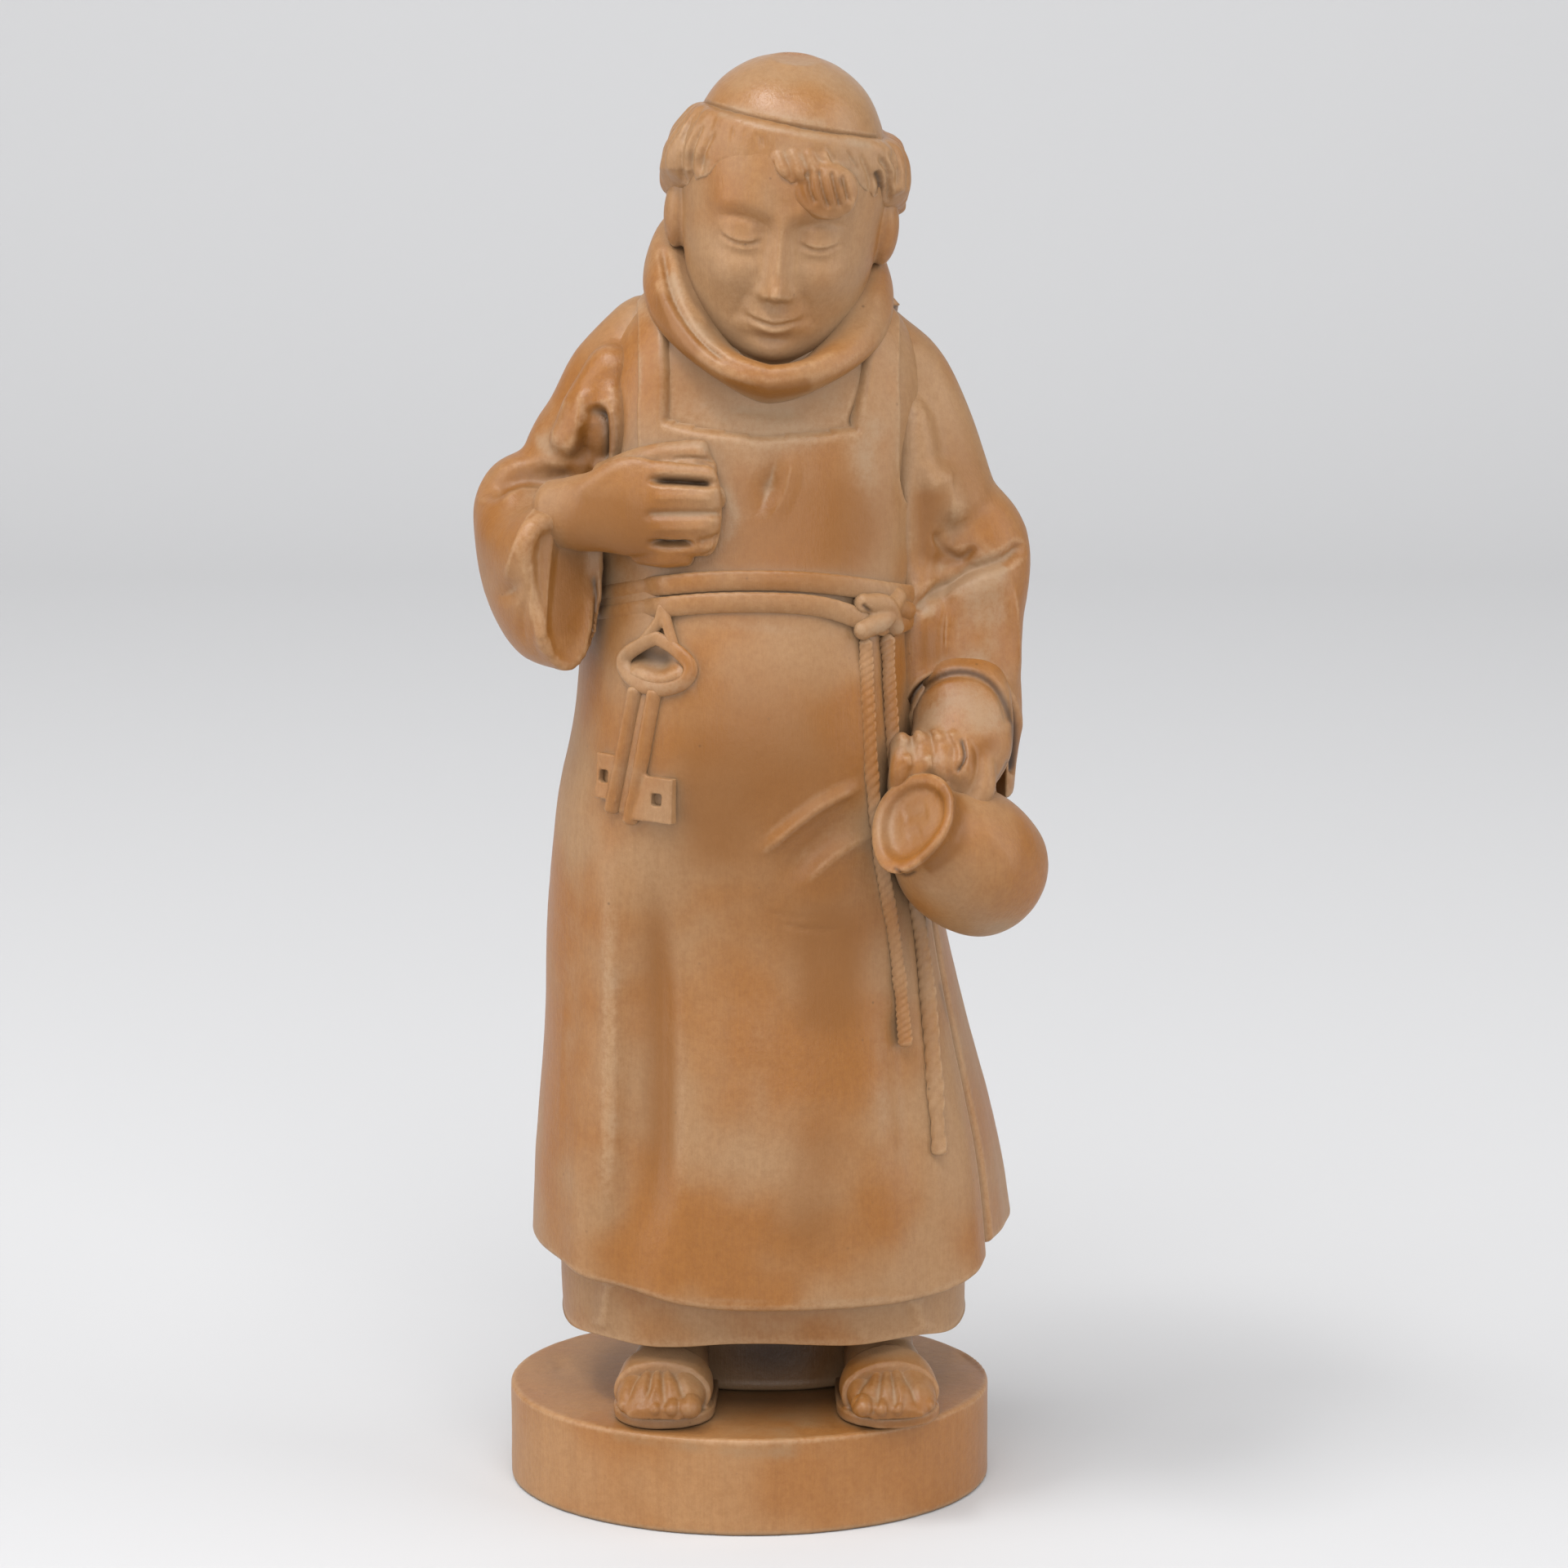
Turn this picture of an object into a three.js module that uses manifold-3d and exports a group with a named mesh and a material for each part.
// A carved wooden monk on an oval plinth, about 247 mm tall.
// He wears a long habit, a scapular that hangs front and back, a rolled cowl with a hood behind, and a rope belt
// with two hanging ends. Two keys hang at his right side, and his left hand carries a tipped jug by its handle.
// Each piece is cut to its neighbours with one seam, and sits on the piece that carries it.
//
// Millimetres. The monk looks along -Y, +X is his left side and +Z is up. The origin is the middle of the
// plinth's underside. Heights in the figure are counted from the plinth's top.

import * as THREE from "three";
import { mergeVertices } from "three/addons/utils/BufferGeometryUtils.js";
import Module from "manifold-3d";

const wasm = await Module();
wasm.setup();

// Driving sizes

// Clearances: between two carved pieces, under a piece that follows the curved cloth, and round the head
const SEAM = 0.3;
const LAID_ON = 0.45;
const HEAD_CLEAR = 0.7;

const PLINTH = { halfWidth: 41.4, front: 35, back: 36, height: 17, roundedEdge: 0.9 };

// The habit under the scapular, by height: its middle, half widths to each side, and squareness
const HABIT = [
  { z: 13.6, middle: 2.6, left: 34.8, right: 34.6, front: 26.8, back: 22, square: 2.5 },
  { z: 22, middle: 2.5, left: 35, right: 34.8, front: 27.2, back: 23, square: 2.4 },
  { z: 42, middle: 1.8, left: 34, right: 34, front: 27.4, back: 23, square: 2.3 },
  { z: 63, middle: 1, left: 32.4, right: 31.4, front: 26.8, back: 22, square: 2.3 },
  { z: 83, middle: 0.4, left: 31.9, right: 29.2, front: 26.8, back: 21, square: 2.3 },
  { z: 103, middle: 0.2, left: 30.2, right: 27.6, front: 29.4, back: 20, square: 2.3 },
  { z: 118, middle: 0.2, left: 27.4, right: 26.8, front: 31, back: 19.4, square: 2.3 },
  { z: 131, middle: 0.4, left: 26.6, right: 26.3, front: 29.4, back: 18.8, square: 2.3 },
  { z: 141, middle: 0.8, left: 26.4, right: 26, front: 26.6, back: 18.8, square: 2.3 },
  { z: 153, middle: 1.2, left: 26.4, right: 26.6, front: 24.4, back: 20.4, square: 2.4 },
  { z: 165, middle: 1.6, left: 26.8, right: 27, front: 22.2, back: 21.6, square: 2.4 },
  { z: 175, middle: 2, left: 26.4, right: 27, front: 19.8, back: 20.6, square: 2.4 },
  { z: 183, middle: 2.4, left: 23.6, right: 24.4, front: 17.4, back: 18.6, square: 2.3 },
  { z: 190, middle: 2.8, left: 18, right: 18.6, front: 14.4, back: 16, square: 2.1 },
  { z: 195, middle: 3, left: 13, right: 13.4, front: 11, back: 12, square: 2 },
];
const HABIT_ROWS = [13.6, 24, 46, 72, 96, 116, 132, 146, 160, 172, 182, 190];
const SCAPULAR_ROWS = [42, 62, 80, 96, 109, 120, 131, 142, 156, 170, 181];
const SOCKET_ROWS = [-25, -22.6, -18, -12, -5, 2, 9, 14, 18.5, 21.8, 23.6];

// The block under the hem that stands on the plinth behind the feet
const STANDING_BLOCK = { side: 19, front: 9, back: 19, top: 15 };

// How far the scapular stands off the habit, by height
const SCAPULAR_STAND = [
  { z: 20, off: 5 },
  { z: 45, off: 4.4 },
  { z: 85, off: 2.8 },
  { z: 125, off: 2.2 },
  { z: 150, off: 1.7 },
  { z: 196, off: 1.4 },
];
const SCAPULAR = { leftEdge: -97, rightEdge: 74, slit: 0.9, strapLeft: -18.7, strapRight: 25.6, top: 191 };
const HEM = { front: 21.6, leftRise: 5.4, rightRise: 3.4, back: 27 };
const NECKLINE = { left: -13.8, right: 18.2, rightTop: 23, bottom: 169.4, sag: 1.4, top: 200 };
const BACK_FLARE = { angle: 108, spread: 22, height: 70, out: 4.8 };

// Folds of the skirt: direction and spread in degrees, height of the ridge, and where it starts and has faded
const FOLDS = [
  { angle: -46, spread: 8, out: 1.3, low: 20, high: 112 },
  { angle: -31, spread: 8, out: -1.1, low: 20, high: 104 },
  { angle: -4, spread: 16, out: 0.6, low: 20, high: 84 },
  { angle: 40, spread: 8, out: -0.9, low: 20, high: 96 },
  { angle: 62, spread: 9, out: 0.9, low: 20, high: 90 },
  { angle: 150, spread: 10, out: 1, low: 20, high: 110 },
  { angle: 180, spread: 10, out: -1, low: 20, high: 110 },
  { angle: -150, spread: 10, out: 1, low: 20, high: 110 },
];

const COWL = {
  middle: [3.4, -4.4, SCAPULAR.top - 2.4],
  halfWidth: 14.4,
  front: 17.2,
  back: 14.4,
  rise: 11.4,
  rightSideRise: 3.4,
  thick: 6.4,
  tall: 4.6,
  fullness: 0.72,
};
const HOOD = [
  { drop: -9, back: 18, side: 15.5, deep: 4.2 },
  { drop: -1, back: 25, side: 19, deep: 5.4 },
  { drop: 15, back: 29.6, side: 18, deep: 4.4 },
  { drop: 31, back: 30.4, side: 12.5, deep: 3.6 },
  { drop: 45, back: 29.8, side: 4, deep: 2.6 },
];

// The head in its own frame, by height: middle of each section, and half sizes
const HEAD = { middle: [5.9, -6.2, 206], nod: 11, lean: 5 };
const HEAD_SECTIONS = [
  { z: -25, middle: -8.6, deep: 4, wide: 4.8 },
  { z: -23.4, middle: -7.8, deep: 8.2, wide: 8.4 },
  { z: -20, middle: -6.2, deep: 11.6, wide: 12 },
  { z: -15, middle: -4, deep: 14.2, wide: 14.4 },
  { z: -10, middle: -2, deep: 16.4, wide: 15.6 },
  { z: -4, middle: -0.4, deep: 18.4, wide: 16.6 },
  { z: 3, middle: 0, deep: 18.8, wide: 16.9 },
  { z: 9, middle: 0, deep: 17.4, wide: 16.3 },
  { z: 14, middle: 0, deep: 15.4, wide: 14.8 },
  { z: 18.5, middle: 0, deep: 12.4, wide: 12.2 },
  { z: 21.8, middle: 0, deep: 8.4, wide: 8.2 },
  { z: 23.6, middle: 0, deep: 4, wide: 4 },
];
const HEAD_ROWS = [
  -25, -23.2, -20.8, -18, -16, -14, -11.8, -9.6, -6.6, -3.6, -1.2, 1.4, 4.4, 8.6, 13, 17.4, 21, 23.6,
];
const FACE = { brow: 2.6, eyes: -1.4, eyeSpacing: 6.4, noseBase: -11.4, noseOut: 4.4, noseHalfWidth: 3.2, mouth: -16 };
const EAR = { out: 16.4, back: 0.6, height: -3.8, thick: 2.2, deep: 3.6, tall: 5.8 };
const NECK = { radius: 9.5, bottom: 176 };

// The tonsure's rim is a plane that leans with the head. The other heights are in the head's frame.
const HAIR = {
  thick: 1.7,
  sideThick: 3.6,
  rimThick: 1.5,
  rimLeft: 221.9,
  rimRight: 216.2,
  fringe: 10.4,
  temple: 13.6,
  earLine: -1.4,
  napeSlope: 32,
};
const FORELOCK = [
  { from: [7.8, 219.6], to: [6.8, 213] },
  { from: [10.2, 219.2], to: [9.8, 210.4] },
  { from: [12.8, 218.8], to: [12.9, 209.2] },
  { from: [15.2, 218.2], to: [16, 210.4] },
];
const LOCK_RADIUS = 2.2;

// Each arm is an upper sleeve that ends in a hanging fold, and a lower sleeve that comes out from under it.
// A station gives a centre, and half sizes across, on the hanging side and opposite to it.
const RIGHT_UPPER_SLEEVE = [
  { at: [-15.5, 2.5, 180], side: 8, up: 9.2, down: 8 },
  { at: [-22, 1.2, 174.6], side: 8.8, up: 8.4, down: 8.4 },
  { at: [-27.6, -0.8, 167], side: 9.2, up: 6.6, down: 8.4 },
  { at: [-31, -3.4, 160.6], side: 8.8, up: 6.2, down: 7 },
];
const RIGHT_LOWER_SLEEVE = [
  { at: [-31, 2.6, 158.4], side: 7, up: 6.6, down: 8 },
  { at: [-36.2, -2.6, 154], side: 9.4, up: 9.2, down: 13.4 },
  { at: [-36.6, -9.6, 151], side: 9, up: 7.4, down: 18.4 },
  { at: [-34.4, -17, 149.6], side: 8.6, up: 6, down: 20 },
  { at: [-30.2, -22.8, 150], side: 8, up: 6, down: 20.8 },
];
const LEFT_UPPER_SLEEVE = [
  { at: [19.5, 2.5, 180], side: 8, up: 8, down: 9.6 },
  { at: [25.8, 2, 173.4], side: 8.6, up: 8.6, down: 9.6 },
  { at: [29.4, 1, 164], side: 9.2, up: 9.2, down: 9.2 },
  { at: [32.8, -1, 154.4], side: 9, up: 9.6, down: 9.6 },
];
const LEFT_LOWER_SLEEVE = [
  { at: [33.2, 1.6, 155], side: 8.2, up: 7.6, down: 8.4 },
  { at: [36.6, -1.4, 145.6], side: 10.9, up: 9.2, down: 9.8 },
  { at: [36, -5, 131], side: 9.8, up: 9, down: 9.6 },
  { at: [35.4, -7.4, 119], side: 10.7, up: 8.6, down: 9.2 },
  { at: [35, -8, 106], side: 9.8, up: 8, down: 8.6 },
];
const CUFF = { wall: 1.7, recess: 0.25 };
const LEFT_CUFF_ARCH = { across: 9.5, deep: 15.5, tall: 21, forward: 12.6 };

const RIGHT_HAND = {
  wrist: [-31.5, -20.5, 155],
  heel: [-26, -23.4, 155.6],
  palm: [-19.5, -25.6, 156.6],
  knuckles: [-15.4, -26.6, 156.8],
  thick: 4.2,
};
const FINGER = { radius: 2.45, inner: 1.1, knuckleLift: 0.8 };
const RIGHT_FINGERS = [
  { root: [-18, 161.4], tip: [-5, 163.4] },
  { root: [-17, 157.6], tip: [-3.6, 158.8] },
  { root: [-17, 153.6], tip: [-4.4, 154.2] },
  { root: [-17, 149.8], tip: [-8.6, 149.4] },
];
const RIGHT_THUMB = { root: [-22.5, 160.8], middle: [-14.5, 164.8], tip: [-6.6, 166], radius: 2.4 };

// The left hand hangs out of its cuff: each point is counted from the cuff's middle.
const LEFT_HAND = { wrist: [0.8, -0.8, 21], heel: [0.8, -5.8, 16.5], palm: [0.6, -10.4, 10.4], knuckles: [-1.8, -14.2, 3.4] };
const LEFT_FINGERS = [-9.6, -6.2, -2.8, 0.6].map((x) => ({ root: [x, -15.6, 10.8], bend: [x, -18.2, 7.8], tip: [x - 0.4, -17.2, 4] }));
const LEFT_THUMB = { root: [3.4, -14, 10], bend: [3.8, -16.8, 4.6], tip: [2.4, -17.6, 1.4], radius: 2.4 };

const JUG = {
  mouth: [27.2, -32.6, 106.8],
  axis: [-0.53, -0.65, 0.545],
  height: 28.6,
  bellyRadius: 12,
  neckRadius: 7.2,
  mouthRadius: 7.8,
  baseRadius: 8.6,
  wall: 1.7,
  recess: 3.6,
};
const JUG_SPOUT = { out: 2.4, spread: 38 };
const JUG_HANDLE = { radius: 1.7, rise: 8, topAt: 5, bottomAt: 17.5 };

const ROPE = { radius: 1.75, inner: 0.8, outer: 1.1, looseRadius: 1.5 };
const BELT = { upper: 145.4, lower: 141.9, sideDrop: 6, backDrop: 5, cover: 2.4, knotDip: 2, dipSpread: 0.3 };
const KNOT = { x: 21.4, below: 3.7, size: 3.4 };
const CORD_ENDS = [
  { name: "short_cord_end", tip: 1.5, route: [[18.8, 134.6], [19.2, 125], [19.9, 112], [21.4, 98], [23.4, 86], [24.8, 75], [25.6, 66]] },
  { name: "long_cord_end", tip: 1.7, route: [[22.3, 134.6], [22.8, 125], [23.7, 112], [25.6, 98], [28, 84], [29.6, 70], [31.4, 47]] },
];

// The keys are carved flat: relief is half the thickness of the ring, the loop and the shanks
const KEY_LOOP = { x: -13.4, length: 5, halfWidth: 3.4, half: 1.1 };
const KEY_RING = { x: -14.2, halfWidth: 5.4, halfHeight: 4.4, half: 1.5 };
const KEYS = [
  { name: "outer_key", x: -17.9, lean: -4, length: 20.4, bitSide: -1, bitAcross: 5, bitLift: 1.6 },
  { name: "inner_key", x: -14.8, lean: -4.1, length: 21.8, bitSide: 1, bitAcross: 7.6, bitLift: 0.4 },
];
const KEY = { shank: 1.35, relief: 0.8, bitTall: 7.6, bitThick: 1.3, window: 2 };

const FEET = [
  { side: "right", x: -15.8, turn: -8 },
  { side: "left", x: 25.2, turn: 8 },
];
const FOOT = { toe: -31.6, length: 27.6, halfWidth: 7.5, height: 10.6, ankle: 5.6, ankleIn: 5.4 };
const FOOT_SECTIONS = [
  { z: 3.4, wide: 0.86, tall: 0.42 },
  { z: 7, wide: 1, tall: 0.6 },
  { z: 12, wide: 0.98, tall: 0.82 },
  { z: 18, wide: 0.86, tall: 1 },
  { z: FOOT.length, wide: 0.7, tall: 1 },
];
const SANDAL = { sole: 1.9, rim: 1.1, strapAt: 10.4, strapWide: 5, strapThick: 1 };

// Mesh fineness
const HABIT_SIDES = 30;
const SCAPULAR_STEP = 8;
const HEAD_SIDES = 26;
const LIMB_SIDES = 13;
const HAND_SIDES = 8;
const ROD_SIDES = 6;

const WOOD = { color: 0xb98559, roughness: 0.55, metalness: 0 };
const PLINTH_WOOD = { color: 0xad7a4e, roughness: 0.6, metalness: 0 };

const { lerp, clamp, smoothstep, degToRad, radToDeg } = THREE.MathUtils;
const vector = (p) => new THREE.Vector3(...p);
const DOWN = new THREE.Vector3(0, 0, -1);
const BACK = new THREE.Vector3(0, 1, 0);
const FRONT = new THREE.Vector3(0, -1, 0);

// Solids

function solidOf(geometry) {
  const bare = geometry.clone();
  bare.deleteAttribute("normal");
  bare.deleteAttribute("uv");
  const merged = mergeVertices(bare, 1e-3);
  const solid = new wasm.Manifold(
    new wasm.Mesh({
      numProp: 3,
      vertProperties: merged.attributes.position.array,
      triVerts: new Uint32Array(merged.index.array),
    }),
  );
  if (solid.volume() < 0) throw new Error("faces point inwards");
  return solid;
}

function geometryOf(solid) {
  const mesh = solid.getMesh();
  const points = new Float32Array(mesh.numVert * 3);
  for (let i = 0; i < mesh.numVert; i++) {
    points.set(mesh.vertProperties.subarray(i * mesh.numProp, i * mesh.numProp + 3), i * 3);
  }
  const geometry = new THREE.BufferGeometry();
  geometry.setAttribute("position", new THREE.BufferAttribute(points, 3));
  geometry.setIndex(new THREE.BufferAttribute(mesh.triVerts, 1));
  geometry.computeVertexNormals();
  return geometry;
}

// The solid with every face moved out by the clearance: each corner goes to where its moved faces meet
function grown(solid, clearance) {
  const geometry = geometryOf(solid);
  const { position } = geometry.attributes;
  const corners = geometry.index.array;
  const pulls = Array.from({ length: position.count }, () => new THREE.Vector3());
  const spreads = Array.from({ length: position.count }, () => new Float64Array(6));
  const face = new THREE.Triangle();
  const n = new THREE.Vector3();
  for (let i = 0; i < corners.length; i += 3) {
    face.setFromAttributeAndIndices(position, corners[i], corners[i + 1], corners[i + 2]);
    face.getNormal(n);
    for (const corner of corners.subarray(i, i + 3)) {
      pulls[corner].add(n);
      [n.x * n.x, n.x * n.y, n.x * n.z, n.y * n.y, n.y * n.z, n.z * n.z].forEach((v, k) => (spreads[corner][k] += v));
    }
  }
  const solve = new THREE.Matrix3();
  for (let i = 0; i < position.count; i++) {
    const [xx, xy, xz, yy, yz, zz] = spreads[i];
    const calm = 0.02 * (xx + yy + zz);
    solve.set(xx + calm, xy, xz, xy, yy + calm, yz, xz, yz, zz + calm).invert();
    const move = pulls[i].applyMatrix3(solve).multiplyScalar(clearance);
    position.setXYZ(i, position.getX(i) + move.x, position.getY(i) + move.y, position.getZ(i) + move.z);
  }
  return solidOf(geometry);
}

const largest = (solid) => solid.decompose().reduce((a, b) => (b.volume() > a.volume() ? b : a));
const joined = (solids) => solids.reduce((a, b) => a.add(b));

// The blank cut back to leave a seam to each neighbour. Offcuts fall away.
function fitted(blank, ...neighbours) {
  const cut = neighbours.reduce((piece, neighbour) => piece.subtract(grown(neighbour, SEAM)), blank);
  return largest(solidOf(geometryOf(largest(cut))));
}

// Shapes

// A closed skin over rings of points. Each ring runs anticlockwise seen from the next ring.
// An end is closed by a fan, from the ring's middle or from its point number hub.
function skin(rings, hub = null) {
  const count = rings[0].length;
  const points = rings.flat().flatMap((p) => [p.x, p.y, p.z]);
  const faces = [];
  for (let i = 0; i + 1 < rings.length; i++) {
    for (let j = 0; j < count; j++) {
      const a = i * count + j;
      const b = i * count + ((j + 1) % count);
      faces.push(a, b, b + count, a, b + count, a + count);
    }
  }
  const last = (rings.length - 1) * count;
  for (const start of [0, last]) {
    let middle = start + hub;
    if (hub === null) {
      const centre = rings[start / count].reduce((sum, p) => sum.add(p), new THREE.Vector3()).divideScalar(count);
      middle = points.length / 3;
      points.push(centre.x, centre.y, centre.z);
    }
    for (let j = 0; j < count; j++) {
      const a = start + j;
      const b = start + ((j + 1) % count);
      if (a !== middle && b !== middle) faces.push(...(start ? [middle, a, b] : [middle, b, a]));
    }
  }
  const geometry = new THREE.BufferGeometry();
  geometry.setAttribute("position", new THREE.Float32BufferAttribute(points, 3));
  geometry.setIndex(faces);
  return geometry;
}

// A closed hoop of rings that meet end to end
function hoop(rings) {
  const count = rings[0].length;
  const faces = [];
  rings.forEach((_, i) => {
    const next = ((i + 1) % rings.length) * count;
    for (let j = 0; j < count; j++) {
      const k = (j + 1) % count;
      faces.push(i * count + j, i * count + k, next + k, i * count + j, next + k, next + j);
    }
  });
  const geometry = new THREE.BufferGeometry();
  const points = rings.flat().flatMap((p) => [p.x, p.y, p.z]);
  geometry.setAttribute("position", new THREE.Float32BufferAttribute(points, 3));
  geometry.setIndex(faces);
  return geometry;
}

// One section square to its path, with its own half sizes on the hanging side, opposite and across.
// A fullness under 1 fills its corners.
function section(centre, along, hang, half, sides, fullness = 1) {
  const down = hang.clone().addScaledVector(along, -hang.dot(along)).normalize();
  const across = new THREE.Vector3().crossVectors(along, down);
  return Array.from({ length: sides }, (_, j) => {
    const turn = (2 * Math.PI * j) / sides;
    const [cos, sin] = [Math.cos(turn), Math.sin(turn)].map((v) => Math.sign(v) * Math.abs(v) ** fullness);
    return centre
      .clone()
      .addScaledVector(down, cos * (cos > 0 ? half.down : half.up))
      .addScaledVector(across, sin * half.side);
  });
}

// A sweep through stations, flat or rounded at its ends
function limb(stations, hang, options = {}) {
  const { sides = LIMB_SIDES, perSpan = 2, thinner = 0, from = 0, startCaps = [], endCaps = [] } = options;
  const path = new THREE.CatmullRomCurve3(stations.map((s) => vector(s.at)));
  const spans = stations.length - 1;
  const stops = [];
  for (let k = Math.round(from * spans * perSpan); k <= spans * perSpan; k++) {
    const place = k / perSpan;
    const i = Math.min(Math.floor(place), spans - 1);
    const blend = smoothstep(place - i, 0, 1);
    const half = {};
    for (const key of ["side", "up", "down"]) half[key] = lerp(stations[i][key], stations[i + 1][key], blend) - thinner;
    stops.push({ centre: path.getPoint(place / spans), along: path.getTangent(place / spans), half });
  }
  const rings = stops.map((s) => section(s.centre, s.along, hang, s.half, sides));
  for (const [end, way, caps] of [[stops[0], -1, startCaps], [stops[stops.length - 1], 1, endCaps]]) {
    const { side, up, down } = end.half;
    const reach = Math.min(side, up, down) * way;
    for (const share of caps) {
      const shrink = Math.sqrt(1 - share * share);
      const half = { side: side * shrink, up: up * shrink, down: down * shrink };
      const ring = section(end.centre.clone().addScaledVector(end.along, reach * share), end.along, hang, half, sides);
      if (way > 0) rings.push(ring);
      else rings.unshift(ring);
    }
  }
  return solidOf(skin(rings));
}

// A rod with rounded ends. Its half thickness away from hang and towards it can be less than its radius.
function rod(points, radius, { hang = FRONT, inner = null, outer = null, sides = ROD_SIDES, perSpan = 1 } = {}) {
  const stations = points.map((at, i) => {
    const r = Array.isArray(radius) ? radius[i] : radius;
    return { at, side: r, up: inner ?? r, down: outer ?? r };
  });
  return limb(stations, hang, { sides, perSpan, startCaps: [0.75], endCaps: [0.75] });
}

function ball(at, across, deep, tall, rounds, levels) {
  const geometry = new THREE.SphereGeometry(1, rounds, levels);
  geometry.scale(across, deep, tall);
  geometry.translate(...at);
  return geometry;
}

// An outline in the front view, given as x and height, pushed through from front to back
function throughFrontView(shape, front = -60, back = 60) {
  const geometry = new THREE.ExtrudeGeometry(shape, { depth: back - front, bevelEnabled: false, curveSegments: 6 });
  geometry.rotateX(Math.PI / 2);
  geometry.translate(0, back, 0);
  return geometry;
}

function outline(points) {
  return new THREE.Shape(points.map(([x, z]) => new THREE.Vector2(x, z)));
}

// A value read smoothly from a table by height
function valueAt(table, z, key) {
  const above = table.findIndex((row) => row.z > z);
  const i = above < 0 ? table.length - 2 : Math.max(0, above - 1);
  const [low, high] = [table[i], table[i + 1]];
  const before = table[Math.max(0, i - 1)];
  const after = table[Math.min(table.length - 1, i + 2)];
  const width = high.z - low.z;
  const slopeLow = ((high[key] - before[key]) / (high.z - before.z)) * width;
  const slopeHigh = ((after[key] - low[key]) / (after.z - low.z)) * width;
  const s = clamp((z - low.z) / width, 0, 1);
  return (
    (2 * s ** 3 - 3 * s ** 2 + 1) * low[key] +
    (s ** 3 - 2 * s ** 2 + s) * slopeLow +
    (3 * s ** 2 - 2 * s ** 3) * high[key] +
    (s ** 3 - s ** 2) * slopeHigh
  );
}

const bump = (distance, spread) => Math.exp(-((distance / spread) ** 2));
const turnBetween = (a, b) => ((((a - b + 180) % 360) + 360) % 360) - 180;

function ringOf(pointAt, sides) {
  return Array.from({ length: sides }, (_, j) => pointAt((2 * Math.PI * j) / sides));
}

// The clothed body. A direction is 0 at the front and +90 degrees at the monk's left.

function habitPoint(angle, z, out = 0) {
  const [sin, cos] = [Math.sin(angle), Math.cos(angle)];
  const size = (key) => valueAt(HABIT, z, key);
  const power = 2 / size("square");
  const across = Math.sign(sin) * Math.abs(sin) ** power * (size(sin > 0 ? "right" : "left") + out);
  const deep = -Math.sign(cos) * Math.abs(cos) ** power * (size(cos > 0 ? "front" : "back") + out);
  return new THREE.Vector3(size("middle") + across, deep, z);
}

function foldAt(angle, z) {
  return FOLDS.reduce((sum, fold) => {
    const fade = 1 - smoothstep(z, lerp(fold.low, fold.high, 0.35), fold.high);
    return sum + fold.out * fade * bump(turnBetween(radToDeg(angle), fold.angle), fold.spread);
  }, 0);
}

function scapularPoint(angle, z, out = 0) {
  return habitPoint(angle, z, valueAt(SCAPULAR_STAND, z, "off") + foldAt(angle, z) + out);
}

// The scapular's front where it is seen at x, and the same point moved out from the surface
function angleAt(x, z) {
  let [low, high] = [-Math.PI / 2, Math.PI / 2];
  for (let i = 0; i < 24; i++) {
    const middle = (low + high) / 2;
    if (scapularPoint(middle, z).x < x) low = middle;
    else high = middle;
  }
  return (low + high) / 2;
}

const onFront = (x, z, out = 0) => scapularPoint(angleAt(x, z), z, out).toArray();

// Pieces

function makePlinth() {
  const edge = PLINTH.roundedEdge;
  const shape = new THREE.Shape();
  shape.absellipse(0, 0, PLINTH.halfWidth - edge, PLINTH.front - edge, Math.PI, 2 * Math.PI);
  shape.absellipse(0, 0, PLINTH.halfWidth - edge, PLINTH.back - edge, 0, Math.PI);
  const geometry = new THREE.ExtrudeGeometry(shape, {
    depth: PLINTH.height - 2 * edge,
    bevelThickness: edge,
    bevelSize: edge,
    bevelSegments: 1,
    curveSegments: 12,
  });
  geometry.translate(0, 0, edge - PLINTH.height);
  return solidOf(geometry);
}

function makeHabit() {
  const robe = solidOf(skin(HABIT_ROWS.map((z) => ringOf((a) => habitPoint(a, z), HABIT_SIDES))));
  const { side, front, back, top } = STANDING_BLOCK;
  const blockPoint = (a, z) => {
    const deep = Math.cos(a) > 0 ? front : back;
    return new THREE.Vector3(HABIT[0].middle + side * Math.sin(a), -deep * Math.cos(a), z);
  };
  return robe.add(solidOf(skin([SEAM, top].map((z) => ringOf((a) => blockPoint(a, z), 20)))));
}

// A slice of the scapular between two directions, reaching in to the body's middle line
function scapularSlice(from, to, hemAt, flareAt) {
  const columns = Math.round((to - from) / SCAPULAR_STEP);
  const shares = [0, ...SCAPULAR_ROWS.map((z) => (z - HEM.front) / (SCAPULAR.top - HEM.front)), 1];
  const rings = shares.map((share) => {
    const ring = Array.from({ length: columns + 1 }, (_, j) => {
      const angle = degToRad(lerp(from, to, j / columns));
      const z = lerp(hemAt(radToDeg(angle)), SCAPULAR.top, share);
      return scapularPoint(angle, z, flareAt(angle, z));
    });
    const z = lerp(hemAt((from + to) / 2), SCAPULAR.top, share);
    return [...ring, new THREE.Vector3(valueAt(HABIT, z, "middle"), 0, z)];
  });
  return solidOf(skin(rings, columns + 1));
}

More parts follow.
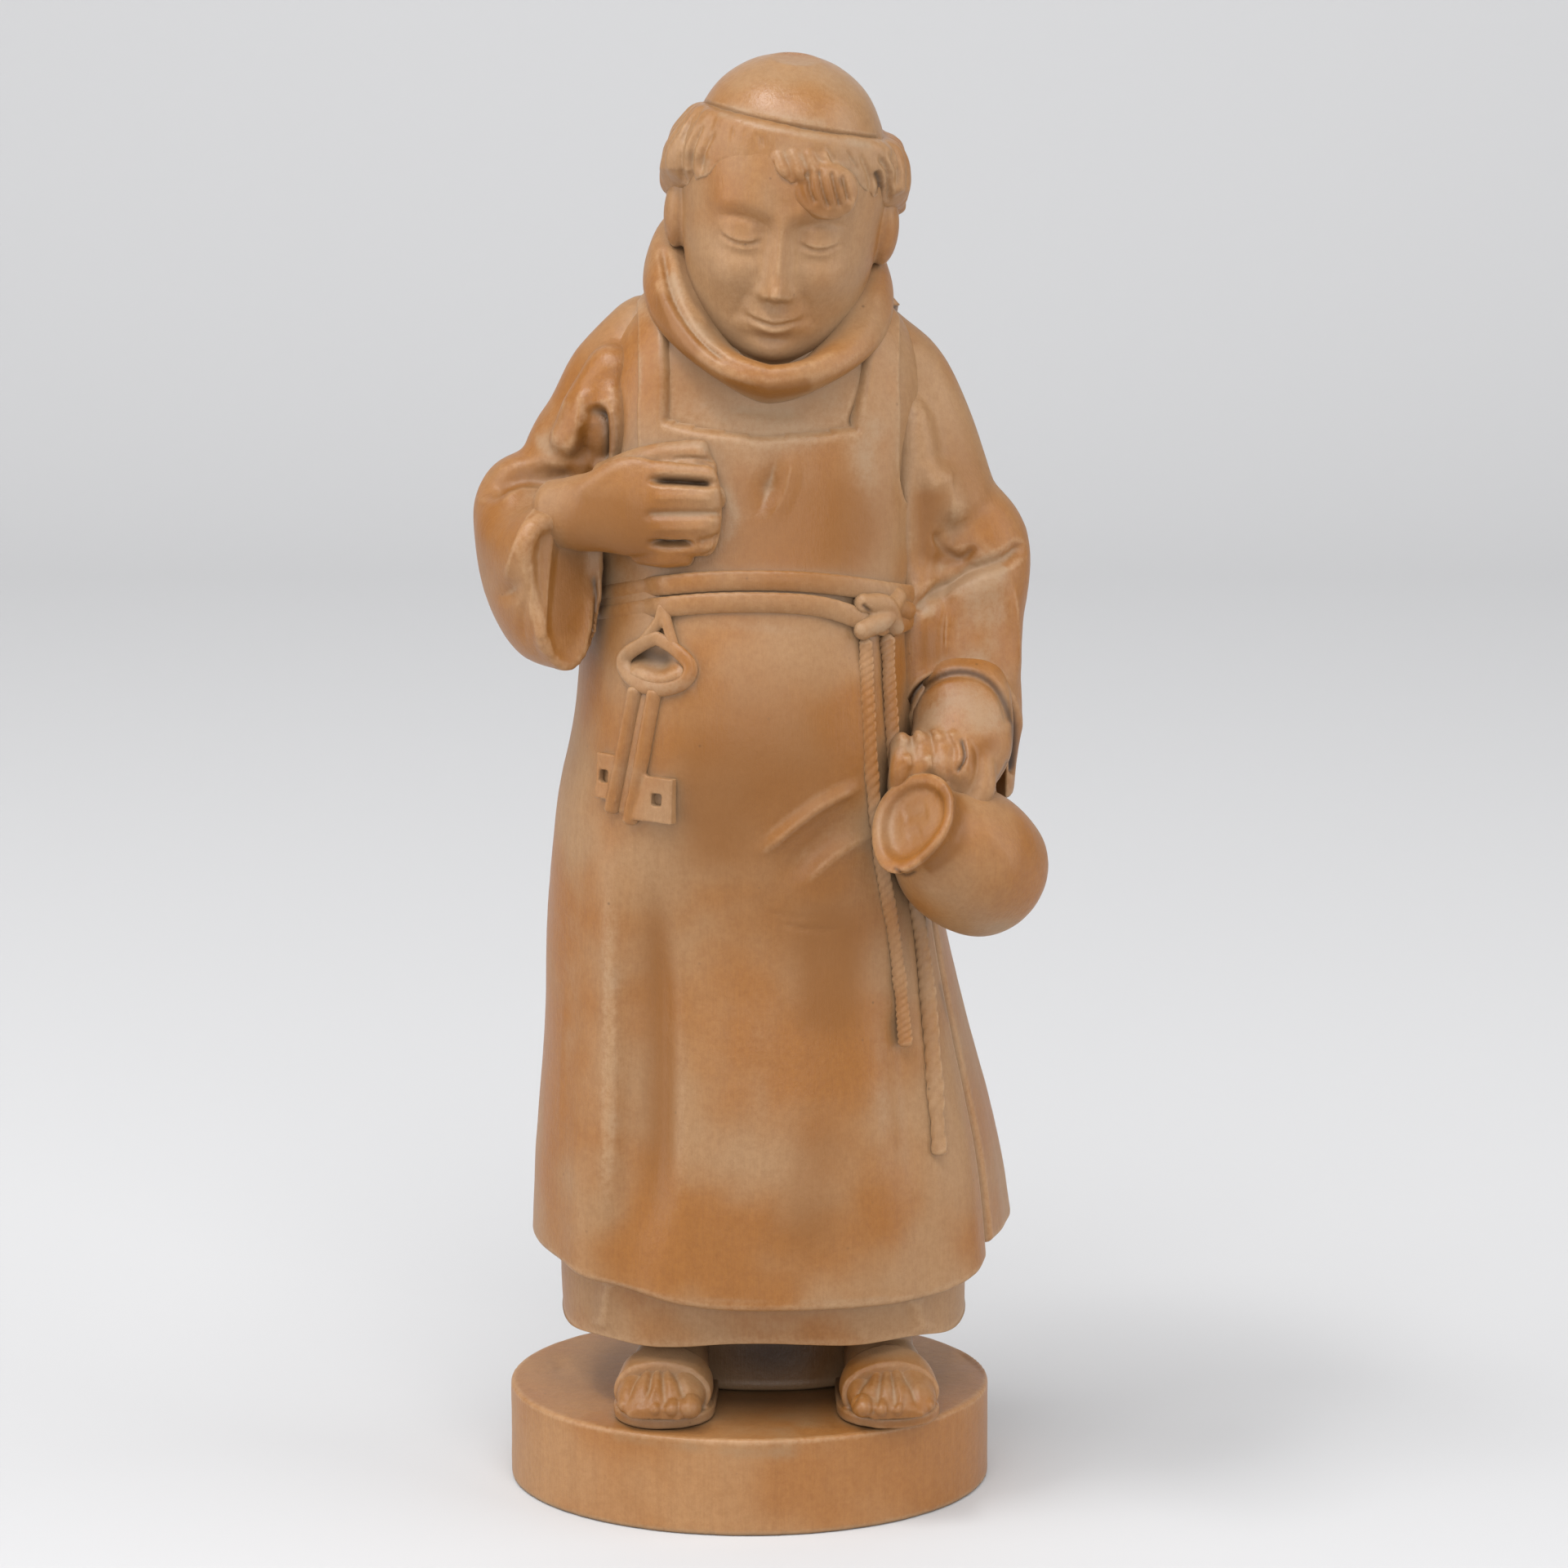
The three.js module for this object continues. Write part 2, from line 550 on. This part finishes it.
// Above the belt the scapular is only two straps wide. Below it, it wraps the body.
function strapOutline() {
  const [far, top] = [80, 210];
  const waist = BELT.upper + BELT.cover;
  return outline([
    [SCAPULAR.strapLeft, top],
    [SCAPULAR.strapLeft, waist + 12],
    [SCAPULAR.strapLeft - 2.4, waist + 3],
    [-far, waist],
    [-far, 0],
    [far, 0],
    [far, waist],
    [SCAPULAR.strapRight + 2, waist + 3],
    [SCAPULAR.strapRight - 0.6, waist + 14],
    [SCAPULAR.strapRight + 0.8, top],
  ]);
}

function necklineOutline() {
  const { left, right, rightTop, bottom, sag, top } = NECKLINE;
  const shape = new THREE.Shape();
  shape.moveTo(left, top);
  shape.lineTo(left, bottom + 1.2);
  shape.quadraticCurveTo((left + right) / 2, bottom - 2 * sag, right, bottom);
  shape.lineTo(rightTop, top);
  return shape;
}

function makeScapularFront(habit) {
  const hemAt = (degrees) =>
    HEM.front + HEM.leftRise * smoothstep(-degrees, 0, 72) + HEM.rightRise * smoothstep(degrees, 40, 78);
  const slice = scapularSlice(SCAPULAR.leftEdge, SCAPULAR.rightEdge, hemAt, () => 0);
  const straps = slice.intersect(solidOf(throughFrontView(strapOutline())));
  return fitted(straps.subtract(solidOf(throughFrontView(necklineOutline()))), habit);
}

function makeScapularBack(habit) {
  const flareAt = (angle, z) => {
    const beside = bump(turnBetween(radToDeg(angle), BACK_FLARE.angle), BACK_FLARE.spread);
    return BACK_FLARE.out * beside * clamp(1 - (z - HEM.back) / BACK_FLARE.height, 0, 1);
  };
  const slice = scapularSlice(SCAPULAR.rightEdge + SCAPULAR.slit, SCAPULAR.leftEdge + 360 - SCAPULAR.slit, () => HEM.back, flareAt);
  return fitted(slice.intersect(solidOf(throughFrontView(strapOutline()))), habit);
}

// The shoulders that the cowl and the hood lie on, smoother than the cloth itself
function makeShoulders() {
  const clear = SEAM + 0.1;
  return solidOf(skin([150, 162, 172, 181, 188, SCAPULAR.top + clear].map((z) => ringOf((a) => scapularPoint(a, z, clear), 24))));
}

function makeCowl(socket, shoulders, ...neighbours) {
  const [x, y, z] = COWL.middle;
  const place = (turn) => {
    const deep = Math.cos(turn) > 0 ? COWL.front : COWL.back;
    const rise = COWL.rightSideRise * Math.max(0, -Math.sin(turn)) - COWL.rise * Math.cos(turn);
    return new THREE.Vector3(x + COWL.halfWidth * Math.sin(turn), y - deep * Math.cos(turn), z + rise);
  };
  const half = { side: COWL.thick, up: COWL.tall, down: COWL.tall };
  const rings = ringOf((turn) => {
    const along = place(turn + 0.01).sub(place(turn - 0.01)).normalize();
    const lean = new THREE.Vector3(0.35 * Math.sin(turn), -0.35 * Math.cos(turn), -1).normalize();
    return section(place(turn), along, lean, half, 10, COWL.fullness);
  }, 24);
  return fitted(solidOf(hoop(rings)).subtract(socket).subtract(shoulders), ...neighbours);
}

function makeHood(shoulders, ...neighbours) {
  const [x, y, z] = COWL.middle;
  const stations = HOOD.map(({ drop, back, side, deep }) => ({ at: [x, y + back, z - drop], side, up: deep, down: deep }));
  return fitted(limb(stations, BACK, { perSpan: 1, endCaps: [0.6] }).subtract(shoulders), ...neighbours);
}

const headPlace = new THREE.Matrix4()
  .makeTranslation(...HEAD.middle)
  .multiply(new THREE.Matrix4().makeRotationY(degToRad(HEAD.lean)))
  .multiply(new THREE.Matrix4().makeRotationX(degToRad(HEAD.nod)));

// The calm, plain face: how far each part of it stands out from the head
function faceRelief(x, z) {
  const across = Math.abs(x);
  const nose = clamp((FACE.brow - z) / (FACE.brow - FACE.noseBase), 0, 1) ** 1.3 * smoothstep(z, FACE.noseBase - 1.6, FACE.noseBase + 0.8);
  return (
    FACE.noseOut * nose * bump(across, FACE.noseHalfWidth) +
    0.9 * bump(z - FACE.brow - 0.6, 1.8) * bump(across - FACE.eyeSpacing, 5) -
    1.6 * bump(z - FACE.eyes, 2.4) * bump(across - FACE.eyeSpacing, 3.6) +
    1.4 * bump(z - FACE.noseBase + 0.5, 4.6) * bump(across - 9, 4.6) +
    1.1 * bump(z - FACE.mouth, 2) * bump(across, 4.6) +
    1.4 * bump(z - FACE.mouth + 6, 3) * bump(across, 5)
  );
}

// A section of the head in its own frame, moved out by outAt, with closer points round the face
function headRing(z, outAt, sides) {
  const size = (key) => valueAt(HEAD_SECTIONS, z, key);
  return ringOf((even) => {
    const turn = even - 0.4 * Math.sin(even);
    const out = outAt(turn);
    const x = (size("wide") + out) * Math.sin(turn);
    const y = size("middle") - (size("deep") + out) * Math.cos(turn);
    const front = smoothstep(Math.cos(turn), 0.1, 0.6);
    return new THREE.Vector3(x, y - faceRelief(x, z) * front, z);
  }, sides);
}

function inHeadFrame(geometry) {
  return solidOf(geometry.applyMatrix4(headPlace));
}

function neckPeg(out) {
  const [bottom, top] = [NECK.bottom - out, HEAD.middle[2]];
  const neck = new THREE.CylinderGeometry(NECK.radius + out, NECK.radius + out, top - bottom, 14);
  neck.rotateX(Math.PI / 2);
  neck.translate(COWL.middle[0], COWL.middle[1] + 1, (top + bottom) / 2);
  return solidOf(neck);
}

function ears(out) {
  const [across, deep, tall] = [EAR.thick + out, EAR.deep + out, EAR.tall + out];
  return [-1, 1].map((side) => inHeadFrame(ball([side * EAR.out, EAR.back, EAR.height], across, deep, tall, 8, 6)));
}

function makeHead() {
  const skull = inHeadFrame(skin(HEAD_ROWS.map((z) => headRing(z, () => 0, HEAD_SIDES))));
  return joined([skull, neckPeg(0), ...ears(0)]);
}

// The hollow that the head and its peg sit in, smoother than the head itself
function makeHeadSocket() {
  const chin = -HEAD_SECTIONS[0].z;
  const rings = SOCKET_ROWS.map((z) => headRing(z, () => HEAD_CLEAR, HEAD_SIDES).map((p) => p.setZ(z * (1 + HEAD_CLEAR / chin))));
  return joined([inHeadFrame(skin(rings)), neckPeg(HEAD_CLEAR), ...ears(HEAD_CLEAR)]);
}

// The hair runs round the head below the tonsure, open at the face and above the ears
function makeHair(socket, ...neighbours) {
  const far = 60;
  const rows = SOCKET_ROWS.filter((z) => z > -20);
  const thickness = (turn, z) => {
    const full = lerp(HAIR.thick, HAIR.sideThick, smoothstep(Math.abs(Math.sin(turn)), 0.5, 0.95));
    return lerp(full, HAIR.rimThick, smoothstep(z, 8, 18));
  };
  const shell = inHeadFrame(skin(rows.map((z) => headRing(z, (turn) => thickness(turn, z), HEAD_SIDES))));
  const rim = (x) => lerp(HAIR.rimLeft, HAIR.rimRight, (x + 7.6) / 29.8);
  const tonsure = throughFrontView(outline([[-far, rim(-far)], [far, rim(far)], [far, 300], [-far, 300]]));
  const { temple, fringe } = HAIR;
  const face = new THREE.Shape();
  face.moveTo(-temple, -far);
  face.lineTo(temple, -far);
  face.lineTo(temple, fringe - 9);
  face.quadraticCurveTo(temple, fringe, temple - 7, fringe);
  face.lineTo(7 - temple, fringe);
  face.quadraticCurveTo(-temple, fringe, -temple, fringe - 9);
  const below = new THREE.BoxGeometry(2 * far, 2 * far, far);
  below.translate(0, 0, -far / 2);
  below.rotateX(-degToRad(HAIR.napeSlope));
  below.translate(0, 0, HAIR.earLine);
  const open = shell
    .subtract(solidOf(tonsure))
    .subtract(inHeadFrame(throughFrontView(face, -far, 0)))
    .subtract(inHeadFrame(below));
  const intoFrame = headPlace.clone().invert();
  const onForehead = ([x, z]) => {
    const local = new THREE.Vector3(x, 0, z).applyMatrix4(intoFrame);
    const size = (key) => valueAt(HEAD_SECTIONS, local.z, key);
    local.y = size("middle") - size("deep") * Math.sqrt(1 - (local.x / size("wide")) ** 2) - LOCK_RADIUS * 0.5;
    return local.applyMatrix4(headPlace).toArray();
  };
  const locks = FORELOCK.map(({ from, to }) => rod([from, to].map(onForehead), [LOCK_RADIUS, LOCK_RADIUS * 0.8]));
  return fitted(joined([open.subtract(socket), ...locks.map((lock) => lock.subtract(socket))]), ...neighbours);
}

const UPPER_SLEEVE = { perSpan: 1, endCaps: [0.5, 0.85] };
const LOWER_SLEEVE = { startCaps: [0.7] };

function makeRightSleeve(...neighbours) {
  const end = RIGHT_LOWER_SLEEVE[RIGHT_LOWER_SLEEVE.length - 1];
  const before = RIGHT_LOWER_SLEEVE[RIGHT_LOWER_SLEEVE.length - 2];
  const past = vector(end.at).multiplyScalar(2).sub(vector(before.at)).toArray();
  const stations = [...RIGHT_LOWER_SLEEVE, { ...end, at: past }];
  const from = 1 - (1 + CUFF.recess) / RIGHT_LOWER_SLEEVE.length;
  const hollow = limb(stations, DOWN, { thinner: CUFF.wall, from, perSpan: 4 });
  const lower = limb(RIGHT_LOWER_SLEEVE, DOWN, LOWER_SLEEVE).subtract(hollow);
  return fitted(limb(RIGHT_UPPER_SLEEVE, DOWN, UPPER_SLEEVE).add(lower), ...neighbours);
}

const leftCuff = LEFT_LOWER_SLEEVE[LEFT_LOWER_SLEEVE.length - 1].at;
const fromLeftCuff = ([x, y, z]) => [leftCuff[0] + x, leftCuff[1] + y, leftCuff[2] + z];

function makeLeftSleeve(...neighbours) {
  const { across, deep, tall, forward } = LEFT_CUFF_ARCH;
  const cloth = limb(LEFT_UPPER_SLEEVE, BACK, UPPER_SLEEVE).add(limb(LEFT_LOWER_SLEEVE, BACK, LOWER_SLEEVE));
  const arch = solidOf(ball(fromLeftCuff([0.4, -forward, 1.4]), across, deep, tall, 16, 10));
  return fitted(cloth.subtract(arch), ...neighbours);
}

function makeRightHand(...neighbours) {
  const { wrist, heel, palm, knuckles, thick } = RIGHT_HAND;
  const hand = limb(
    [
      { at: wrist, side: thick, up: 6, down: 5.6 },
      { at: heel, side: thick, up: 6.8, down: 6.2 },
      { at: palm, side: thick - 0.3, up: 8.6, down: 7.6 },
      { at: knuckles, side: thick - 1.4, up: 8.4, down: 7.6 },
    ],
    DOWN,
    { sides: HAND_SIDES, perSpan: 1, startCaps: [0.75], endCaps: [0.75] },
  );
  const { radius, inner, knuckleLift } = FINGER;
  const fingers = RIGHT_FINGERS.map(({ root, tip }) => {
    const knuckle = onFront(lerp(root[0], tip[0], 0.5), lerp(root[1], tip[1], 0.5), LAID_ON + inner + knuckleLift);
    const path = [onFront(...root, LAID_ON + inner), knuckle, onFront(...tip, LAID_ON + inner)];
    return rod(path, [radius, radius, radius * 0.82], { inner });
  });
  const { root, middle, tip, radius: thumbRadius } = RIGHT_THUMB;
  const thumb = rod([root, middle, tip].map((p) => onFront(...p, LAID_ON + inner)), thumbRadius, { inner });
  return fitted(joined([hand, ...fingers, thumb]), ...neighbours);
}

function makeLeftHand(...neighbours) {
  const [wrist, heel, palm, knuckles] = ["wrist", "heel", "palm", "knuckles"].map((key) => fromLeftCuff(LEFT_HAND[key]));
  const hand = limb(
    [
      { at: wrist, side: 7, up: 5.6, down: 5.2 },
      { at: heel, side: 8.3, up: 6.4, down: 5.6 },
      { at: palm, side: 8.5, up: 6.4, down: 5.2 },
      { at: knuckles, side: 6.8, up: 5.4, down: 4.2 },
    ],
    BACK,
    { sides: HAND_SIDES, perSpan: 1, startCaps: [0.75], endCaps: [0.75] },
  );
  const digit = ({ root, bend, tip }, radius) => rod([root, bend, tip].map(fromLeftCuff), radius);
  const fingers = LEFT_FINGERS.map((finger) => digit(finger, FINGER.radius * 0.86));
  return fitted(joined([hand, ...fingers, digit(LEFT_THUMB, LEFT_THUMB.radius)]), ...neighbours);
}

function makeJug(...neighbours) {
  const { height, bellyRadius, neckRadius, mouthRadius, baseRadius, wall, recess } = JUG;
  const profile = [
    [0, 0],
    [baseRadius, 0],
    [bellyRadius * 0.93, height * 0.18],
    [bellyRadius, height * 0.38],
    [bellyRadius * 0.9, height * 0.6],
    [neckRadius + 0.8, height * 0.77],
    [neckRadius, height * 0.87],
    [mouthRadius, height],
    [mouthRadius - wall, height],
    [neckRadius - wall, height - recess],
    [0, height - recess],
  ].map(([r, h]) => new THREE.Vector2(r, h));
  const body = new THREE.LatheGeometry(profile, 18);
  body.rotateX(Math.PI / 2);

  // The rim is pulled out to a spout on the low side, which is the jug's own +X.
  const { position } = body.attributes;
  const point = new THREE.Vector3();
  for (let i = 0; i < position.count; i++) {
    point.fromBufferAttribute(position, i);
    const nearRim = smoothstep(point.z, height * 0.8, height);
    const turn = radToDeg(Math.atan2(point.y, point.x));
    const stretch = 1 + (JUG_SPOUT.out / mouthRadius) * nearRim * bump(turn, JUG_SPOUT.spread);
    position.setXY(i, point.x * stretch, point.y * stretch);
  }

  const { radius, rise, topAt, bottomAt } = JUG_HANDLE;
  const handlePath = [
    [neckRadius - 0.6, topAt],
    [neckRadius + rise * 0.75, topAt - 0.4],
    [neckRadius + rise, topAt + 4.5],
    [neckRadius + rise * 0.75, topAt + 9.5],
    [bellyRadius - 1.2, bottomAt],
  ];
  const axis = vector(JUG.axis).normalize();
  const spout = DOWN.clone().addScaledVector(axis, axis.z).normalize();
  const side = new THREE.Vector3().crossVectors(axis, spout);
  const base = vector(JUG.mouth).addScaledVector(axis, -height);
  const place = new THREE.Matrix4().makeBasis(spout, side, axis).setPosition(base);
  const inPlace = ([out, down]) => new THREE.Vector3(-out, 0, height - down).applyMatrix4(place).toArray();
  const handle = rod(handlePath.map(inPlace), radius, { hang: side, perSpan: 2 });
  return fitted(solidOf(body.applyMatrix4(place)).add(handle), ...neighbours);
}

// The belt sinks a little towards the sides and the back
function beltHeight(turn, height) {
  const share = Math.sin(turn) ** 2;
  return height - (Math.cos(turn) > 0 ? BELT.sideDrop * share : lerp(BELT.backDrop, BELT.sideDrop, share));
}

// The lower strand dips to the knot
const knotTurn = angleAt(KNOT.x, BELT.lower);
const strandHeight = (turn, height) =>
  beltHeight(turn, height) - (height < BELT.upper ? BELT.knotDip * bump(Math.sin((turn - knotTurn) / 2) * 2, BELT.dipSpread) : 0);

function makeBeltStrand(height, ...neighbours) {
  const place = (turn, out = 0) => scapularPoint(turn, strandHeight(turn, height), LAID_ON + ROPE.inner + out);
  const half = { side: ROPE.radius, up: ROPE.inner, down: ROPE.outer };
  const rings = ringOf((turn) => {
    const along = place(turn + 0.02).sub(place(turn - 0.02)).normalize();
    return section(place(turn), along, place(turn, 1).sub(place(turn)), half, ROD_SIDES);
  }, 26);
  return fitted(solidOf(hoop(rings)), ...neighbours);
}

const knotHeight = beltHeight(knotTurn, (BELT.upper + BELT.lower) / 2) - 2;

function makeKnot(...neighbours) {
  const s = KNOT.size;
  const flat = { outer: s * 0.4 };
  const at = (dx, dz, out) => onFront(KNOT.x + dx, knotHeight + dz, out);
  const turns = [
    rod([at(-3.4, 2.4, 1.4), at(-0.4, 1.4, 2.2), at(1.8, -2.6, 1.4)], [s * 0.48, s * 0.6, s * 0.48], flat),
    rod([at(-3.4, -2, 1.4), at(-0.6, -0.4, 2.2), at(2.2, 2.6, 1.4)], [s * 0.46, s * 0.56, s * 0.48], flat),
    rod([at(1, 1.4, 1.5), at(4, -0.6, 1.2)], s * 0.52, flat),
  ];
  return fitted(joined(turns), ...neighbours);
}

function makeCordEnd({ route, tip }, ...neighbours) {
  const path = route.map(([x, z]) => onFront(x, z, LAID_ON + ROPE.inner));
  const radii = path.map((_, i) => (i > path.length - 3 ? tip : ROPE.looseRadius));
  return fitted(rod(path, radii, { inner: ROPE.inner, outer: ROPE.outer }), ...neighbours);
}

const loopTop = beltHeight(angleAt(KEY_LOOP.x, BELT.lower), BELT.lower);
const ringTop = loopTop - KEY_LOOP.length;
const ringMiddle = ringTop - KEY_RING.halfHeight;
const keyTop = ringMiddle - KEY_RING.halfHeight;

function makeKeyLoop(...neighbours) {
  const { x, halfWidth, half } = KEY_LOOP;
  const lift = LAID_ON + KEY.relief;
  const strand = (dx) =>
    rod(
      [
        onFront(x, loopTop, lift),
        onFront(x + dx * 0.3, (loopTop + ringTop) / 2, lift),
        onFront(KEY_RING.x + dx, ringTop - half, lift),
      ],
      half,
      { inner: KEY.relief, outer: KEY.relief },
    );
  return fitted(strand(halfWidth).add(strand(-halfWidth)), ...neighbours);
}

function makeKeyRing() {
  const { x, halfWidth, halfHeight } = KEY_RING;
  const lift = LAID_ON + KEY.relief;
  const place = (turn) => vector(onFront(x + halfWidth * Math.sin(turn), ringMiddle + halfHeight * Math.cos(turn), lift));
  const half = { side: KEY_RING.half, up: KEY.relief, down: KEY.relief };
  const rings = ringOf((turn) => {
    const along = place(turn + 0.05).sub(place(turn - 0.05)).normalize();
    return section(place(turn), along, FRONT, half, ROD_SIDES);
  }, 16);
  return solidOf(hoop(rings));
}

// A key hangs from the ring: a shank, and a flat bit with a square window
function makeKey({ x, lean, length, bitSide, bitAcross, bitLift }, ...neighbours) {
  const { shank, relief, bitTall, bitThick, window } = KEY;
  const along = (share) => [x + lean * share, keyTop - length * share];
  const rodPath = [0, 0.5, 1].map((share) => onFront(...along(share), LAID_ON + relief));
  const middle = 1 - (bitTall / 2 + bitLift) / length;
  const [x0, z0] = along(middle);
  const near = vector(onFront(x0, z0, LAID_ON));
  const right = vector(onFront(x0 + bitAcross, z0, LAID_ON)).sub(vector(onFront(x0 - bitAcross, z0, LAID_ON))).normalize();
  const shankWay = vector(rodPath[0]).sub(vector(rodPath[2]));
  const out = new THREE.Vector3().crossVectors(right, shankWay).normalize();
  const up = new THREE.Vector3().crossVectors(out, right);
  const rectangle = (from, to, half) => {
    const [left, rightEnd] = bitSide > 0 ? [from, to] : [-to, -from];
    return outline([[left, -half], [rightEnd, -half], [rightEnd, half], [left, half]]);
  };
  const plate = rectangle(0, bitAcross, bitTall / 2);
  if (bitAcross > window + 2 * shank) {
    const windowMiddle = (bitAcross + shank) / 2;
    plate.holes.push(rectangle(windowMiddle - window / 2, windowMiddle + window / 2, window / 2));
  }
  const bit = new THREE.ExtrudeGeometry(plate, { depth: bitThick, bevelEnabled: false });
  bit.applyMatrix4(new THREE.Matrix4().makeBasis(right, up, out).setPosition(near));
  return fitted(rod(rodPath, shank, { inner: relief, outer: relief }).add(solidOf(bit)), ...neighbours);
}

// A foot points along its own -Y from the toe, and stands on its sandal's sole.
const footFloor = SEAM + SANDAL.sole + SEAM;

function footPlace(foot) {
  return new THREE.Matrix4().makeTranslation(foot.x, FOOT.toe, 0).multiply(new THREE.Matrix4().makeRotationZ(degToRad(foot.turn)));
}

function makeFoot(foot) {
  const { length, halfWidth, height, ankle, ankleIn } = FOOT;
  const rings = FOOT_SECTIONS.map(({ z: y, wide, tall }) =>
    Array.from({ length: 12 }, (_, j) => {
      const turn = (2 * Math.PI * j) / 12;
      const lift = (Math.max(-0.5, Math.sin(turn)) + 0.5) / 1.5;
      return new THREE.Vector3(-halfWidth * wide * Math.cos(turn), y, footFloor + height * tall * lift);
    }),
  );
  const toes = [-1, -0.5, 0, 0.5, 1].map((place) => {
    const big = foot.side === "left" ? -place : place;
    const size = 1.75 + 0.55 * Math.max(0, big);
    return ball([place * halfWidth * 0.74, 2.9 - 0.9 * big + 0.7 * place ** 2, footFloor + size * 0.94], size, 3, size, 6, 3);
  });
  const stub = new THREE.CylinderGeometry(ankle, ankle, HABIT[0].z + ankleIn - footFloor, 12);
  stub.rotateX(Math.PI / 2);
  stub.translate(0, length - ankle - 2, (HABIT[0].z + ankleIn + footFloor) / 2);
  return joined([skin(rings), stub, ...toes].map((g) => solidOf(g.applyMatrix4(footPlace(foot)))));
}

function makeSandal(foot, ...neighbours) {
  const { length } = FOOT;
  const { sole, rim, strapAt, strapWide, strapThick } = SANDAL;
  const half = FOOT.halfWidth + rim;
  const shape = new THREE.Shape();
  shape.moveTo(-half, length * 0.42);
  shape.bezierCurveTo(-half * 1.05, -1.6, half * 1.05, -1.6, half, length * 0.42);
  shape.lineTo(half * 0.8, length);
  shape.lineTo(-half * 0.8, length);
  const plate = new THREE.ExtrudeGeometry(shape, { depth: sole, bevelEnabled: false, curveSegments: 8 });
  plate.translate(0, 0, SEAM);
  const arch = (out, wide, sunk) =>
    solidOf(
      skin(
        [strapAt - wide / 2, strapAt + wide / 2].map((y) =>
          Array.from({ length: 12 }, (_, j) => {
            const turn = (2 * Math.PI * j) / 12;
            const [wide, tall] = ["wide", "tall"].map((key) => valueAt(FOOT_SECTIONS, y, key));
            const lift = (Math.max(-0.5, Math.sin(turn)) + 0.5) / 1.5;
            const height = (FOOT.height * tall + SEAM + out + sunk) * lift - sunk;
            return new THREE.Vector3(-(FOOT.halfWidth * wide + out) * Math.cos(turn), y, SEAM + sole + height);
          }),
        ),
      ).applyMatrix4(footPlace(foot)),
    );
  const strap = arch(SEAM + strapThick, strapWide, 0.3).subtract(arch(SEAM, strapWide + 2, 0.8));
  return fitted(solidOf(plate.applyMatrix4(footPlace(foot))).add(strap), ...neighbours);
}

// Assembly

const figure = new THREE.Group();
figure.position.z = PLINTH.height;

function place(name, solid, look = WOOD) {
  const mesh = new THREE.Mesh(geometryOf(solid), new THREE.MeshStandardMaterial(look));
  mesh.name = name;
  figure.add(mesh);
  return solid;
}

place("plinth", makePlinth(), PLINTH_WOOD);

const feet = FEET.map(makeFoot);
const socket = makeHeadSocket();
const block = makeHabit();
place("habit", fitted(block.subtract(socket), ...feet));
const scapularFront = place("scapular_front", makeScapularFront(block));
const scapularBack = place("scapular_back", makeScapularBack(block).subtract(socket));
const robes = [block, scapularFront, scapularBack];

const rightSleeve = place("right_sleeve", makeRightSleeve(...robes));
const leftSleeve = place("left_sleeve", makeLeftSleeve(...robes));
const sleeves = [rightSleeve, leftSleeve];

const shoulders = makeShoulders();
const cowl = place("cowl", makeCowl(socket, shoulders, ...sleeves));
const hood = place("hood", makeHood(shoulders, cowl, ...sleeves));
place("head", makeHead());
place("hair", makeHair(socket, cowl, hood));

const knot = place("belt_knot", makeKnot(scapularFront));
const rightHand = place("right_hand", makeRightHand(scapularFront, rightSleeve));
const upperStrand = place("belt_upper_strand", makeBeltStrand(BELT.upper, knot, ...sleeves));
const lowerStrand = place("belt_lower_strand", makeBeltStrand(BELT.lower, knot, ...sleeves));
const cords = CORD_ENDS.map((end) => place(end.name, makeCordEnd(end, knot, scapularFront)));

const jug = place("jug", makeJug(scapularFront, leftSleeve, ...cords));
place("left_hand", makeLeftHand(jug, scapularFront, leftSleeve, ...cords));

const keyRing = place("key_ring", makeKeyRing());
place("key_loop", makeKeyLoop(upperStrand, lowerStrand, keyRing));
const keys = [];
for (const key of KEYS) keys.push(place(key.name, makeKey(key, keyRing, scapularFront, ...keys)));

feet.forEach((foot, i) => {
  place(`${FEET[i].side}_foot`, foot);
  place(`${FEET[i].side}_sandal`, makeSandal(FEET[i], foot, block));
});

export default figure;
